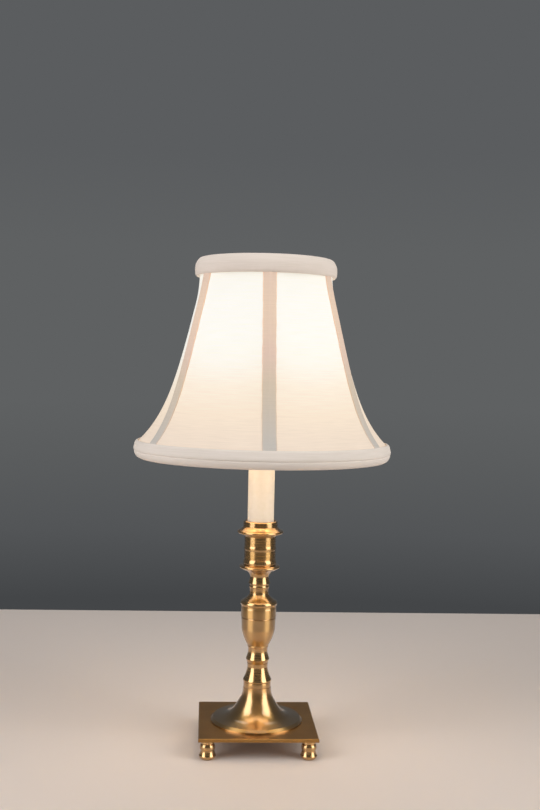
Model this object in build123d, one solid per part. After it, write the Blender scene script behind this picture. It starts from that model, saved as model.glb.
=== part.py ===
"""Candlestick table lamp: turned brass stem on a square footed base, candle sleeve, clip-on bell shade.

Lengths are in millimetres. Z runs up the stem's axis, the floor is Z = 0 and the front faces -Y.
A turned piece is drawn as mouldings, each with its own height and the radius it ends at, and spun
about Z. Each piece stands on the one below it, so a taller moulding lifts all that is above.
"""
from build123d import *
from math import atan2, cos, degrees, pi, radians, sin, sqrt
import os

# ---- base plate and its feet ---------------------------------------------------
PLATE_SIZE = 110.0
PLATE_THICKNESS = 3.2
PLATE_BEVEL = 0.8
FOOT_INSET = 8.6            # a foot's axis in from the plate's edges
FOOT_PAD = 5.2              # flat that touches the floor
FOOT_TOE = 7.9              # widest, above the rounding
FOOT_TOE_ROUND = 7.4
FOOT_TOE_HEIGHT = 3.6
FOOT_WAIST = 6.3
FOOT_SWEEP = 6.8            # radius halfway up to the waist
FOOT_SWEEP_HEIGHT = 4.6
FOOT_BEAD = 7.1
FOOT_BEAD_TOP = 5.8
FOOT_BEAD_HEIGHT = 6.4
FOOT_COLLAR = 6.2
FOOT_COLLAR_HEIGHT = 3.0
STUD_RADIUS = 2.0
STUD_FIT = 0.05             # between a stud and the holes that it screws into
STUD_IN_PLATE = 2.2
STUD_IN_FOOT = 9.0

# ---- flared foot of the stem -----------------------------------------------------
DISC_RADIUS = 43.6
DISC_EDGE = 1.4             # upright edge of the disc
DISC_BEVEL = 2.2            # bevel above that edge
FLARE_RISE = 28.8           # from the bevel up to the neck
FLARE_LOW_RADIUS = 26.0     # the dished sweep passes here
FLARE_LOW_RISE = 4.0
FLARE_HIGH_RADIUS = 17.3    # and here
FLARE_HIGH_RISE = 15.2
FLARE_NECK = 13.2
FLARE_WALL = 3.0

# ---- knop --------------------------------------------------------------------
KNOP_BAND = 12.9
KNOP_BAND_BOW = 13.1
KNOP_BAND_HEIGHT = 5.4
KNOP_RING = 13.6
KNOP_RING_EDGE = 13.3
KNOP_RING_HEIGHT = 2.2
KNOP_COVE = 10.9            # radius halfway up the cove
KNOP_COVE_HEIGHT = 11.6
KNOP_WAIST = 9.6
KNOP_TAPER = 10.0
KNOP_TAPER_HEIGHT = 3.6
KNOP_LEDGE = 9.7            # small ledge on top of the taper
KNOP_SPINDLE = 10.5         # radius halfway up the spindle's lower half
KNOP_SPINDLE_HEIGHT = 4.1
KNOP_EDGE = 11.2            # sharp edge round the spindle
KNOP_SHOULDER = 10.25
KNOP_SHOULDER_HEIGHT = 5.8
KNOP_NECK = 9.45
KNOP_HOLLOW = 9.3
KNOP_HOLLOW_HEIGHT = 6.3

# ---- urn ---------------------------------------------------------------------
URN_FOOT = 10.1
URN_FILLET_HEIGHT = 1.2
URN_BELLY = 13.95           # radius halfway up the belly
URN_BELLY_TOP = 16.0
URN_BELLY_HEIGHT = 15.6
URN_SIDE = 16.4
URN_SIDE_HEIGHT = 10.4
URN_GROOVE_DEPTH = 0.6
URN_GROOVE_HEIGHT = 1.6
URN_BAND = 16.75
URN_BAND_HEIGHT = 7.6
URN_NECKING = 16.6
URN_ROUND_HEIGHT = 1.2
URN_NECKING_HEIGHT = 1.2

# ---- shoulder -----------------------------------------------------------------
SHOULDER_FOOT = 16.9
SHOULDER_FILLET_HEIGHT = 0.6
SHOULDER_RIM = 17.5
SHOULDER_RIM_TOP = 16.2
SHOULDER_RIM_HEIGHT = 4.4
SHOULDER_SWEEP = 11.6       # radius halfway up the sweep
SHOULDER_SWEEP_HEIGHT = 6.2
SHOULDER_NECK = 9.1
SHOULDER_HOLLOW = 8.95
SHOULDER_NECK_TOP = 9.2
SHOULDER_NECK_HEIGHT = 5.8

# ---- neck --------------------------------------------------------------------
NECK_FOOT = 9.2
NECK_RING = 9.6
NECK_RING_HEIGHT = 2.6
NECK_HOLLOW = 9.3
NECK_HOLLOW_HEIGHT = 1.4
NECK_DROP = 10.6            # sharp lower edge of the drop-shaped bead
NECK_DROP_EDGE_HEIGHT = 0.7
NECK_DROP_SIDE = 9.4
NECK_DROP_HEIGHT = 6.1
NECK_WAIST = 8.9
NECK_SWEEP = 10.2
NECK_SWEEP_TOP = 15.7
NECK_SWEEP_HEIGHT = 6.7
NECK_FLANGE = 19.4
NECK_FLANGE_EDGE = 18.7
NECK_UNDERSIDE_HEIGHT = 1.7
NECK_FLANGE_HEIGHT = 2.2
NECK_TOP = 17.4
NECK_TOP_HEIGHT = 0.6

# ---- candle cup ---------------------------------------------------------------
CUP_FOOT = 15.3
CUP_FOOT_RING = 15.75
CUP_FOOT_RING_HEIGHT = 5.8
CUP_BODY = 14.95
CUP_GROOVE_DEPTH = 0.5
CUP_GROOVE_HEIGHT = 0.8
CUP_DRUM_HEIGHT = 7.4
CUP_BEAD = 15.25
CUP_BEAD_HEIGHT = 4.8
CUP_SIDE_HEIGHT = 8.6
CUP_UNDERSIDE = 17.2
CUP_UNDERSIDE_HEIGHT = 2.8
CUP_FLANGE = 22.0
CUP_FLANGE_EDGE = 21.2
CUP_FLANGE_HEIGHT = 2.8
CUP_FLANGE_TOP = 18.0        # radius halfway up the hollow above the flange
CUP_FLANGE_TOP_HEIGHT = 3.6
CUP_LIP = 16.4
CUP_LIP_HEIGHT = 3.0
CUP_LIP_GROOVE = 15.8
CUP_LIP_GROOVE_HEIGHT = 0.6
CUP_MOUTH = 16.3
CUP_MOUTH_TOP = 15.0
CUP_MOUTH_HEIGHT = 1.8
CUP_RECESS = 14.0           # shallow recess round the sleeve
CUP_RECESS_DEPTH = 1.5
CUP_SOCKET_DEPTH = 22.0     # depth that the candle sleeve stands in

# ---- rod that holds the stem together -------------------------------------------
ROD_RADIUS = 4.8
ROD_BORE = 3.4
ROD_CLEARANCE = 0.3
ROD_BEYOND_NUT = 2.0
ROD_BEYOND_CHECK_NUT = 1.0
ROD_THREAD_FIT = 0.05
NUT_ACROSS_FLATS = 14.0
NUT_HEIGHT = 4.0
CHECK_NUT_HEIGHT = 3.0
WASHER_RADIUS = 15.0
WASHER_THICKNESS = 1.6
BUSHING_RADIUS = 6.2
BUSHING_FLANGE = 1.2
BUSHING_DEPTH = 7.0
BUSHING_WALL = 0.8
BUSHING_FIT = 0.05

# ---- candle sleeve and lamp holder -----------------------------------------------
SLEEVE_LENGTH = 152.4
SLEEVE_RADIUS = 12.5
SLEEVE_WALL = 0.9
SLEEVE_CLEARANCE = 0.3
HOLDER_SINK = 2.0           # holder's mouth below the sleeve's top
HOLDER_RADIUS = 10.0
HOLDER_WELL = 18.0
HOLDER_FLOOR = 16.0
SHELL_WALL = 0.5
SHELL_CLEARANCE = 0.3
SHELL_SHORT = 1.0           # screw shell's rim below the holder's mouth
SPRING_RADIUS = 2.4
SPRING_HEIGHT = 1.0
BRACKET_WIDTH = 12.4
BRACKET_THICKNESS = 1.2
BRACKET_CLEARANCE = 0.4     # between the check nut and the bracket's upright
LEAD_RADIUS = 1.1
LEAD_SPACING = 2.5

# ---- bulb --------------------------------------------------------------------
BULB_LENGTH = 97.0
BULB_RADIUS = 17.5
BULB_WIDEST = 46.8          # widest point above the contact pip
BULB_TIP_RADIUS = 6.5       # radius where the tip starts to close
BULB_TIP_LENGTH = 9.0
BULB_GLASS = 0.7
BULB_NECK_SINK = 3.0        # glass neck down inside the cap
CAP_RADIUS = 5.95
CAP_LENGTH = 15.0
CAP_WALL = 0.4
CAP_CLEARANCE = 0.08        # between the cap and the screw shell
PIP_RADIUS = 2.2
PIP_HEIGHT = 1.2
PIP_CLEARANCE = 0.1         # pip above the holder's spring contact
INSULATOR_HEIGHT = 2.4
MOUNT_RADIUS = 2.0
MOUNT_HEIGHT = 22.0
FILAMENT_RADIUS = 0.5
FILAMENT_SPREAD = 2.4
FILAMENT_LENGTH = 30.0

# ---- shade: frame -------------------------------------------------------------
PANELS = 6
SPIDER_ARMS = 3
WIRE = 1.2                  # radius of the frame's wires
RING_TO_RING = 176.8
TOP_RIM = 61.9              # fabric's outside at the top ring
BOTTOM_RIM = 117.0          # fabric's outside at the bottom ring
BELL_SLOPE = 0.82           # straight part of the bell's side
BELL_FLARE = 0.225          # what the lip adds to it
BELL_LIP = 0.94             # share of the way down at which the lip is full
BELL_SHARPNESS = 7.5        # how late the side turns out into the lip
BELL_SOFTNESS = 0.04        # how softly it turns down again at the lip
PULL = 0.6                  # how far a panel is pulled flat between two ribs
PULL_START = 0.2            # share of the way down that the pull takes to grow
PULL_FADE = 3.5             # how late it fades towards the lip
SPIDER_RISE = 25.7          # hub up to the top ring
SPIDER_STRAIGHT = 9.0       # level ends of an arm
SPIDER_BEND = 9.0
HUB_RADIUS = 8.0
HUB_HEIGHT = 3.0
WELD_GAP = 0.1

# ---- shade: fabric -------------------------------------------------------------
FABRIC = 0.5
FABRIC_GAP = 0.1            # between a tape and the panels under it
FRAME_GAP = 0.5             # between the frame's wires and the panels
SEAM = 0.15                 # half of the slit between two panels on a rib
TAPE_HALF_WIDTH = 6.0
LINING = 0.4
LINING_GAP = 0.5
LINING_SAG = 0.6            # lining inside the middle of a panel
TRIM_EDGE = 0.7
TRIM_GAP = 0.2
TOP_TRIM_REACH = 10.3       # down the fabric from the top ring
TOP_TRIM_CROWN = 4.4        # padding above the top ring
TOP_TRIM_SIDE = 5.85        # padding outside the top ring
BOTTOM_TRIM_REACH = 10.5
BOTTOM_TRIM_CROWN = 4.5
BOTTOM_TRIM_SIDE = 5.65
BOTTOM_TRIM_INSIDE = 3.0    # how far the fold comes up inside

# ---- clip that holds the shade on the bulb ---------------------------------------
CLIP_WIRE = 0.9
CLIP_CLEARANCE = 0.3
CLIP_HEADROOM = 1.2         # rivet above the bulb's tip
CLIP_ANGLE = 38.0           # half the angle that a loop spans round the bulb
CLIP_REACH = 0.8            # share of the way up to the tip that a loop follows the glass
CLIP_FOOT = 4.4             # radius at which its ends meet the rivet's flange
RIVET_FLANGE = 6.0
RIVET_FLANGE_HEIGHT = 1.6
RIVET_RADIUS = 2.0
RIVET_RUNNING = 0.05
RIVET_HEAD = 4.4
RIVET_HEAD_HEIGHT = 1.5

SEAT_GAP = 0.2              # between a piece that lifts or turns and its seat
FRONT = -90.0               # direction of the front rib, round from +X

# ---- heights, from the floor up -------------------------------------------------
FOOT_HEIGHT = FOOT_TOE_HEIGHT + FOOT_SWEEP_HEIGHT + FOOT_BEAD_HEIGHT + FOOT_COLLAR_HEIGHT
PLATE_TOP = FOOT_HEIGHT + PLATE_THICKNESS
FLARE_HEIGHT = DISC_EDGE + DISC_BEVEL + FLARE_RISE
KNOP_BASE = PLATE_TOP + FLARE_HEIGHT
KNOP_LOWER = KNOP_BAND_HEIGHT + KNOP_RING_HEIGHT + KNOP_COVE_HEIGHT + KNOP_TAPER_HEIGHT
KNOP_HEIGHT = KNOP_LOWER + KNOP_SPINDLE_HEIGHT + KNOP_SHOULDER_HEIGHT + KNOP_HOLLOW_HEIGHT
URN_BASE = KNOP_BASE + KNOP_HEIGHT
URN_LOWER = URN_FILLET_HEIGHT + URN_BELLY_HEIGHT + URN_SIDE_HEIGHT + URN_GROOVE_HEIGHT
URN_HEIGHT = URN_LOWER + URN_BAND_HEIGHT + URN_ROUND_HEIGHT + URN_NECKING_HEIGHT
SHOULDER_BASE = URN_BASE + URN_HEIGHT
SHOULDER_LOWER = SHOULDER_FILLET_HEIGHT + SHOULDER_RIM_HEIGHT + SHOULDER_SWEEP_HEIGHT
NECK_BASE = SHOULDER_BASE + SHOULDER_LOWER + SHOULDER_NECK_HEIGHT
NECK_LOWER = NECK_RING_HEIGHT + NECK_HOLLOW_HEIGHT + NECK_DROP_EDGE_HEIGHT + NECK_DROP_HEIGHT
NECK_UPPER = NECK_SWEEP_HEIGHT + NECK_UNDERSIDE_HEIGHT + NECK_FLANGE_HEIGHT + NECK_TOP_HEIGHT
CUP_BASE = NECK_BASE + NECK_LOWER + NECK_UPPER
CUP_LOWER = CUP_FOOT_RING_HEIGHT + CUP_GROOVE_HEIGHT + CUP_DRUM_HEIGHT + CUP_BEAD_HEIGHT
CUP_MIDDLE = CUP_SIDE_HEIGHT + CUP_UNDERSIDE_HEIGHT + CUP_FLANGE_HEIGHT + CUP_FLANGE_TOP_HEIGHT
CUP_UPPER = CUP_LIP_HEIGHT + CUP_LIP_GROOVE_HEIGHT + CUP_MOUTH_HEIGHT
CUP_HEIGHT = CUP_LOWER + CUP_MIDDLE + CUP_UPPER
CUP_FLOOR = CUP_BASE + CUP_HEIGHT - CUP_SOCKET_DEPTH
SLEEVE_BASE = CUP_FLOOR + SEAT_GAP
SLEEVE_TOP = SLEEVE_BASE + SLEEVE_LENGTH
HOLDER_TOP = SLEEVE_TOP - HOLDER_SINK
HOLDER_BASE = HOLDER_TOP - HOLDER_WELL - HOLDER_FLOOR
BULB_BASE = HOLDER_TOP - CAP_LENGTH
BULB_TOP = BULB_BASE + BULB_LENGTH
RIVET_BASE = BULB_TOP + CLIP_HEADROOM
HUB_BASE = RIVET_BASE + RIVET_FLANGE_HEIGHT + SEAT_GAP
ARM_LEVEL = HUB_BASE + HUB_HEIGHT / 2
TOP_RING_LEVEL = ARM_LEVEL + SPIDER_RISE
BOTTOM_RING_LEVEL = TOP_RING_LEVEL - RING_TO_RING

# ---- radii and levels that follow from fits ---------------------------------------
STEM_BORE = ROD_RADIUS + ROD_CLEARANCE
CUP_BORE = SLEEVE_RADIUS + SLEEVE_CLEARANCE
WASHER_BASE = FOOT_HEIGHT - WASHER_THICKNESS
NUT_BASE = WASHER_BASE - NUT_HEIGHT
ROD_BASE = NUT_BASE - ROD_BEYOND_NUT
CHECK_NUT_BASE = CUP_FLOOR + BRACKET_THICKNESS
ROD_TOP = CHECK_NUT_BASE + CHECK_NUT_HEIGHT + ROD_BEYOND_CHECK_NUT
SHELL_BORE = CAP_RADIUS + CAP_CLEARANCE
SHELL_RADIUS = SHELL_BORE + SHELL_WALL
WELL_RADIUS = SHELL_RADIUS + SHELL_CLEARANCE
WELL_FLOOR = HOLDER_BASE + HOLDER_FLOOR
COVER = FABRIC + FABRIC_GAP + TRIM_GAP
PANEL_ANGLE = 360 / PANELS
HALF_PANEL = radians(PANEL_ANGLE / 2)
LOW = (Align.CENTER, Align.CENTER, Align.MIN)


# ---- drawing helpers -------------------------------------------------------------
def spun(edges, base=0.0):
    """Solid of revolution about Z of a closed (radius, height) outline, set on a height."""
    outline = make_face([Plane.XZ * edge for edge in edges])
    return Pos(0, 0, base) * revolve(outline, Axis.Z)


def mouldings(foot, *steps):
    """Outer edge of a turned piece from its foot up.

    A step is a height and the radius it ends at, straight, with a third value for the
    radius halfway up where it is bowed. A step of no height is a flat ledge.
    """
    edges = []
    radius = foot
    level = 0.0
    for height, end, *bow in steps:
        top = level + height
        if bow:
            middle = (bow[0], level + height / 2)
            edges.append(ThreePointArc((radius, level), middle, (end, top)))
        else:
            edges.append(Line((radius, level), (end, top)))
        radius = end
        level = top
    return edges


def turned(edges, bore, base):
    """Turned piece closed by flat ends and a straight bore."""
    start = edges[0] @ 0
    end = edges[-1] @ 1
    closing = Polyline((end.X, end.Y), (bore, end.Y), (bore, start.Y), (start.X, start.Y))
    return spun([*edges, closing], base)


def tube(outer, inner, height, base):
    """Plain round tube or washer standing on a height."""
    return Pos(0, 0, base) * extrude(Circle(outer) - Circle(inner), height)


def rod(radius, height, base):
    """Plain round bar standing on a height."""
    return Pos(0, 0, base) * Cylinder(radius, height, align=LOW)


def hex_nut(across_flats, height, base):
    """Hexagonal nut on the threaded rod, two of its flats facing +X and -X."""
    outline = RegularPolygon(across_flats / 2, 6, major_radius=False, rotation=30)
    outline -= Circle(ROD_RADIUS + ROD_THREAD_FIT)
    return Pos(0, 0, base) * extrude(outline, height)


def swept_wire(path, radius):
    """Round wire swept along a path."""
    section = Plane(origin=path @ 0, z_dir=path % 0) * Circle(radius)
    return sweep(section, path=path)


def polar(radius, angle, level):
    """Point at a radius and an angle in degrees round the axis."""
    return Vector(radius * cos(radians(angle)), radius * sin(radians(angle)), level)


# ---- base ------------------------------------------------------------------------
def foot_places():
    """The plate's four corners, where the feet screw on."""
    reach = PLATE_SIZE / 2 - FOOT_INSET
    return [(-reach, -reach), (reach, -reach), (reach, reach), (-reach, reach)]


def base_plate():
    """Square plate with a bevelled top edge, a hole for the rod and blind holes for the studs."""
    plate = Box(PLATE_SIZE, PLATE_SIZE, PLATE_THICKNESS, align=LOW)
    plate = chamfer(plate.edges().group_by(Axis.Z)[-1], PLATE_BEVEL)
    plate -= Cylinder(STEM_BORE, 3 * PLATE_THICKNESS)
    for x, y in foot_places():
        plate -= Pos(x, y, 0) * Cylinder(STUD_RADIUS + STUD_FIT, STUD_IN_PLATE + STUD_FIT, align=LOW)
    return Pos(0, 0, FOOT_HEIGHT) * plate


def ball_foot(x, y):
    """Turned foot: a round toe, a sweep in, a bead and a collar, bored blind for its stud."""
    edges = mouldings(
        FOOT_PAD,
        (FOOT_TOE_HEIGHT, FOOT_TOE, FOOT_TOE_ROUND),
        (FOOT_SWEEP_HEIGHT, FOOT_WAIST, FOOT_SWEEP),
        (FOOT_BEAD_HEIGHT, FOOT_BEAD_TOP, FOOT_BEAD),
        (0, FOOT_COLLAR),
        (FOOT_COLLAR_HEIGHT, FOOT_COLLAR),
    )
    foot = turned(edges, 0, 0)
    depth = STUD_IN_FOOT + STUD_FIT
    foot -= rod(STUD_RADIUS + STUD_FIT, depth, FOOT_HEIGHT - depth)
    return Pos(x, y, 0) * foot


def foot_studs():
    """Four plain studs, each half in its foot and half in the plate."""
    stud = rod(STUD_RADIUS, STUD_IN_FOOT + STUD_IN_PLATE, FOOT_HEIGHT - STUD_IN_FOOT)
    return Compound(children=[Pos(x, y, 0) * stud for x, y in foot_places()])


# ---- stem ------------------------------------------------------------------------
def flared_foot():
    """Disc with a bevelled rim that sweeps up to the stem, spun hollow from below."""
    rim = DISC_EDGE + DISC_BEVEL
    low = (FLARE_LOW_RADIUS, rim + FLARE_LOW_RISE)
    high = (FLARE_HIGH_RADIUS, rim + FLARE_HIGH_RISE)
    top = (FLARE_NECK, FLARE_HEIGHT)
    shoulder = (DISC_RADIUS - DISC_BEVEL, rim)
    wall = FLARE_WALL
    inside = [
        (DISC_RADIUS - 2 * wall, 0),
        (low[0] - wall / 3, low[1] - wall),
        (high[0] - wall, high[1] - wall / 2),
        (FLARE_NECK - wall, FLARE_HEIGHT - wall),
    ]
    return spun([
        Polyline((DISC_RADIUS, 0), (DISC_RADIUS, DISC_EDGE), shoulder),
        Spline(shoulder, low, high, top, tangents=[(-1, 0.12), (-0.05, 1)]),
        Polyline(top, (STEM_BORE, FLARE_HEIGHT), (STEM_BORE, FLARE_HEIGHT - wall), inside[-1]),
        Spline(*inside, tangents=[(-1, 0.15), (-0.05, 1)]),
        Line(inside[0], (DISC_RADIUS, 0)),
    ], PLATE_TOP)


def stem_knop():
    """Knop: a band, a thin ring, a cove, a taper and a spindle with a sharp edge round it."""
    edges = mouldings(
        KNOP_BAND,
        (KNOP_BAND_HEIGHT, KNOP_BAND, KNOP_BAND_BOW),
        (0, KNOP_RING_EDGE),
        (KNOP_RING_HEIGHT, KNOP_RING_EDGE, KNOP_RING),
        (KNOP_COVE_HEIGHT, KNOP_WAIST, KNOP_COVE),
        (KNOP_TAPER_HEIGHT, KNOP_TAPER),
        (0, KNOP_LEDGE),
        (KNOP_SPINDLE_HEIGHT, KNOP_EDGE, KNOP_SPINDLE),
        (KNOP_SHOULDER_HEIGHT, KNOP_NECK, KNOP_SHOULDER),
        (KNOP_HOLLOW_HEIGHT, URN_FOOT, KNOP_HOLLOW),
    )
    return turned(edges, STEM_BORE, KNOP_BASE)


def stem_urn():
    """Urn: a full belly, a groove and a plain band under a necking."""
    edges = mouldings(
        URN_FOOT,
        (URN_FILLET_HEIGHT, URN_FOOT),
        (URN_BELLY_HEIGHT, URN_BELLY_TOP, URN_BELLY),
        (URN_SIDE_HEIGHT, URN_SIDE),
        (URN_GROOVE_HEIGHT, URN_SIDE, URN_SIDE - URN_GROOVE_DEPTH),
        (0, URN_BAND),
        (URN_BAND_HEIGHT, URN_BAND),
        (URN_ROUND_HEIGHT, URN_NECKING),
        (URN_NECKING_HEIGHT, URN_NECKING),
    )
    return turned(edges, STEM_BORE, URN_BASE)


def stem_shoulder():
    """Shoulder: a rounded rim that sweeps in to a slim, faintly hollow neck."""
    edges = mouldings(
        SHOULDER_FOOT,
        (SHOULDER_FILLET_HEIGHT, SHOULDER_FOOT),
        (SHOULDER_RIM_HEIGHT, SHOULDER_RIM_TOP, SHOULDER_RIM),
        (SHOULDER_SWEEP_HEIGHT, SHOULDER_NECK, SHOULDER_SWEEP),
        (SHOULDER_NECK_HEIGHT, SHOULDER_NECK_TOP, SHOULDER_HOLLOW),
    )
    return turned(edges, STEM_BORE, SHOULDER_BASE)


def stem_neck():
    """Neck: a small ring, a drop-shaped bead, and a sweep out to the flange under the cup."""
    edges = mouldings(
        NECK_FOOT,
        (NECK_RING_HEIGHT, NECK_FOOT, NECK_RING),
        (NECK_HOLLOW_HEIGHT, NECK_HOLLOW),
        (NECK_DROP_EDGE_HEIGHT, NECK_DROP),
        (NECK_DROP_HEIGHT, NECK_WAIST, NECK_DROP_SIDE),
        (NECK_SWEEP_HEIGHT, NECK_SWEEP_TOP, NECK_SWEEP),
        (NECK_UNDERSIDE_HEIGHT, NECK_FLANGE_EDGE),
        (NECK_FLANGE_HEIGHT, NECK_FLANGE_EDGE, NECK_FLANGE),
        (NECK_TOP_HEIGHT, NECK_TOP),
    )
    return turned(edges, STEM_BORE, NECK_BASE)


def candle_cup():
    """Candle cup: grooved drum, bead, broad flange and a grooved lip round the sleeve's socket."""
    edges = mouldings(
        CUP_FOOT,
        (CUP_FOOT_RING_HEIGHT, CUP_BODY, CUP_FOOT_RING),
        (CUP_GROOVE_HEIGHT, CUP_BODY, CUP_BODY - CUP_GROOVE_DEPTH),
        (CUP_DRUM_HEIGHT, CUP_BODY),
        (CUP_BEAD_HEIGHT, CUP_BODY, CUP_BEAD),
        (CUP_SIDE_HEIGHT, CUP_BODY),
        (CUP_UNDERSIDE_HEIGHT, CUP_FLANGE_EDGE, CUP_UNDERSIDE),
        (CUP_FLANGE_HEIGHT, CUP_FLANGE_EDGE, CUP_FLANGE),
        (CUP_FLANGE_TOP_HEIGHT, CUP_LIP, CUP_FLANGE_TOP),
        (CUP_LIP_HEIGHT, CUP_LIP),
        (0, CUP_LIP_GROOVE),
        (CUP_LIP_GROOVE_HEIGHT, CUP_LIP_GROOVE),
        (0, CUP_LIP),
        (CUP_MOUTH_HEIGHT, CUP_MOUTH_TOP, CUP_MOUTH),
    )
    cup = turned(edges, STEM_BORE, CUP_BASE)
    cup -= rod(CUP_BORE, CUP_SOCKET_DEPTH, CUP_FLOOR)
    return cup - rod(CUP_RECESS, CUP_RECESS_DEPTH, CUP_BASE + CUP_HEIGHT - CUP_RECESS_DEPTH)


def cord_bushing():
    """Flanged bushing in the rod's lower end."""
    bore = ROD_BORE - BUSHING_FIT - BUSHING_WALL
    flange = tube(BUSHING_RADIUS, bore, BUSHING_FLANGE, ROD_BASE - BUSHING_FLANGE)
    return flange + tube(ROD_BORE - BUSHING_FIT, bore, BUSHING_DEPTH, ROD_BASE)


# ---- lamp holder -----------------------------------------------------------------
def bracket_upright():
    """Where the bracket's upright starts, out from the axis."""
    return NUT_ACROSS_FLATS / 2 + BRACKET_CLEARANCE


def socket_bracket():
    """Strap bent twice: a foot under the check nut, an upright and a tab under the holder."""
    near = bracket_upright()
    far = near + BRACKET_THICKNESS
    height = HOLDER_BASE - CUP_FLOOR
    length = near + far
    foot = Pos(far - length / 2, 0, 0) * Box(length, BRACKET_WIDTH, BRACKET_THICKNESS, align=LOW)
    foot -= Cylinder(ROD_RADIUS + ROD_THREAD_FIT, 3 * BRACKET_THICKNESS)
    upright = Pos((near + far) / 2, 0, 0) * Box(BRACKET_THICKNESS, BRACKET_WIDTH, height, align=LOW)
    tab_length = far - LEAD_RADIUS * 2
    tab = Pos(far - tab_length / 2, 0, height - BRACKET_THICKNESS)
    tab *= Box(tab_length, BRACKET_WIDTH, BRACKET_THICKNESS, align=LOW)
    return Pos(0, 0, CUP_FLOOR) * (foot + upright + tab)


def lead_places():
    """The two leads, side by side in the rod's bore."""
    return [(0, -LEAD_SPACING / 2), (0, LEAD_SPACING / 2)]


def socket_body():
    """Round holder with a well for the screw shell and holes for the leads and the contact."""
    body = rod(HOLDER_RADIUS, HOLDER_FLOOR + HOLDER_WELL, HOLDER_BASE)
    body -= rod(WELL_RADIUS, HOLDER_WELL, WELL_FLOOR)
    return body - rod(SPRING_RADIUS / 2 + STUD_FIT, HOLDER_FLOOR, WELL_FLOOR - HOLDER_FLOOR / 2)


def socket_contact():
    """Centre contact: a pin in the holder's floor under a domed spring."""
    dome = BULB_BASE - PIP_CLEARANCE - WELL_FLOOR
    edges = mouldings(
        SPRING_RADIUS / 2,
        (HOLDER_FLOOR / 2 - STUD_FIT, SPRING_RADIUS / 2),
        (STUD_FIT, SPRING_RADIUS / 2),
        (0, SPRING_RADIUS),
        (SPRING_HEIGHT, SPRING_RADIUS),
        (dome - SPRING_HEIGHT, SPRING_RADIUS / 2),
    )
    return turned(edges, 0, WELL_FLOOR - HOLDER_FLOOR / 2)


def socket_leads():
    """Two leads from the holder's underside down the rod to the inlet."""
    bottom = ROD_BASE - BUSHING_FLANGE
    lead = rod(LEAD_RADIUS, HOLDER_BASE - bottom, bottom)
    return Compound(children=[Pos(x, y, 0) * lead for x, y in lead_places()])


# ---- bulb ------------------------------------------------------------------------
def lower_glass(inset):
    """Side of the bulb from the cap up to its widest, moved in by an inset."""
    neck = (CAP_RADIUS - CAP_WALL - CAP_CLEARANCE - inset, CAP_LENGTH)
    return Spline(neck, (BULB_RADIUS - inset, BULB_WIDEST), tangents=[(0.35, 1), (0, 1)])


def upper_glass(inset):
    """Side of the bulb from its widest up to the tip, moved in by an inset."""
    closing = (BULB_TIP_RADIUS - inset, BULB_LENGTH - BULB_TIP_LENGTH - inset / 2)
    tip = (0, BULB_LENGTH - inset)
    return Spline((BULB_RADIUS - inset, BULB_WIDEST), closing, tip, tangents=[(0, 1), (-1, 0)])


def bulb_glass():
    """Blown glass envelope, one wall thick, its neck down inside the cap."""
    outer = lower_glass(0) @ 0
    inner = lower_glass(BULB_GLASS) @ 0
    foot = CAP_LENGTH - BULB_NECK_SINK
    return spun([
        lower_glass(0),
        upper_glass(0),
        Line((0, BULB_LENGTH), (0, BULB_LENGTH - BULB_GLASS)),
        upper_glass(BULB_GLASS),
        lower_glass(BULB_GLASS),
        Polyline((inner.X, inner.Y), (inner.X, foot), (outer.X, foot), (outer.X, outer.Y)),
    ], BULB_BASE)


def bulb_cap():
    """Brass screw cap of the bulb."""
    low = PIP_HEIGHT + INSULATOR_HEIGHT
    return tube(CAP_RADIUS, CAP_RADIUS - CAP_WALL, CAP_LENGTH - low, BULB_BASE + low)


def bulb_insulator():
    """Cone of black glass that closes the cap's lower end round the contact."""
    edges = mouldings(
        PIP_RADIUS,
        (INSULATOR_HEIGHT, CAP_RADIUS - CAP_WALL),
        (0, CAP_RADIUS - CAP_WALL - CAP_CLEARANCE),
        (CAP_WALL, CAP_RADIUS - CAP_WALL - CAP_CLEARANCE),
    )
    return turned(edges, 0, BULB_BASE + PIP_HEIGHT)


def bulb_contact():
    """Contact pip at the cap's end."""
    edges = mouldings(PIP_RADIUS / 2, (PIP_HEIGHT, PIP_RADIUS, PIP_RADIUS))
    return turned(edges, 0, BULB_BASE)


def bulb_mount():
    """Glass stem inside the bulb, flared where it is sealed to the neck."""
    flare = CAP_RADIUS - CAP_WALL - BULB_GLASS - 2 * CAP_CLEARANCE
    edges = mouldings(
        flare,
        (MOUNT_RADIUS / 2, flare),
        (MOUNT_HEIGHT / 2, MOUNT_RADIUS, (flare + 3 * MOUNT_RADIUS) / 4),
        (MOUNT_HEIGHT / 2 - MOUNT_RADIUS / 2, MOUNT_RADIUS),
    )
    return turned(edges, 0, BULB_BASE + CAP_LENGTH - BULB_NECK_SINK)


def bulb_filament():
    """Hairpin filament standing on the stem."""
    low = BULB_BASE + CAP_LENGTH - BULB_NECK_SINK + MOUNT_HEIGHT
    high = low + FILAMENT_LENGTH - FILAMENT_SPREAD / 2
    half = FILAMENT_SPREAD / 2
    left = Line((-half, 0, low), (-half, 0, high))
    loop = ThreePointArc((-half, 0, high), (0, 0, high + half), (half, 0, high))
    right = Line((half, 0, high), (half, 0, low))
    return swept_wire(Wire([left, loop, right]), FILAMENT_RADIUS)


# ---- clip ------------------------------------------------------------------------
def clip_point(along, angle):
    """Point beside the glass, a wire's radius and a clearance off it, part way up to the tip."""
    side = upper_glass(0)
    on_glass = side @ along
    slope = side % along
    off = CLIP_CLEARANCE + CLIP_WIRE
    return polar(on_glass.X + slope.Y * off, angle, BULB_BASE + on_glass.Y - slope.X * off)


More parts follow.
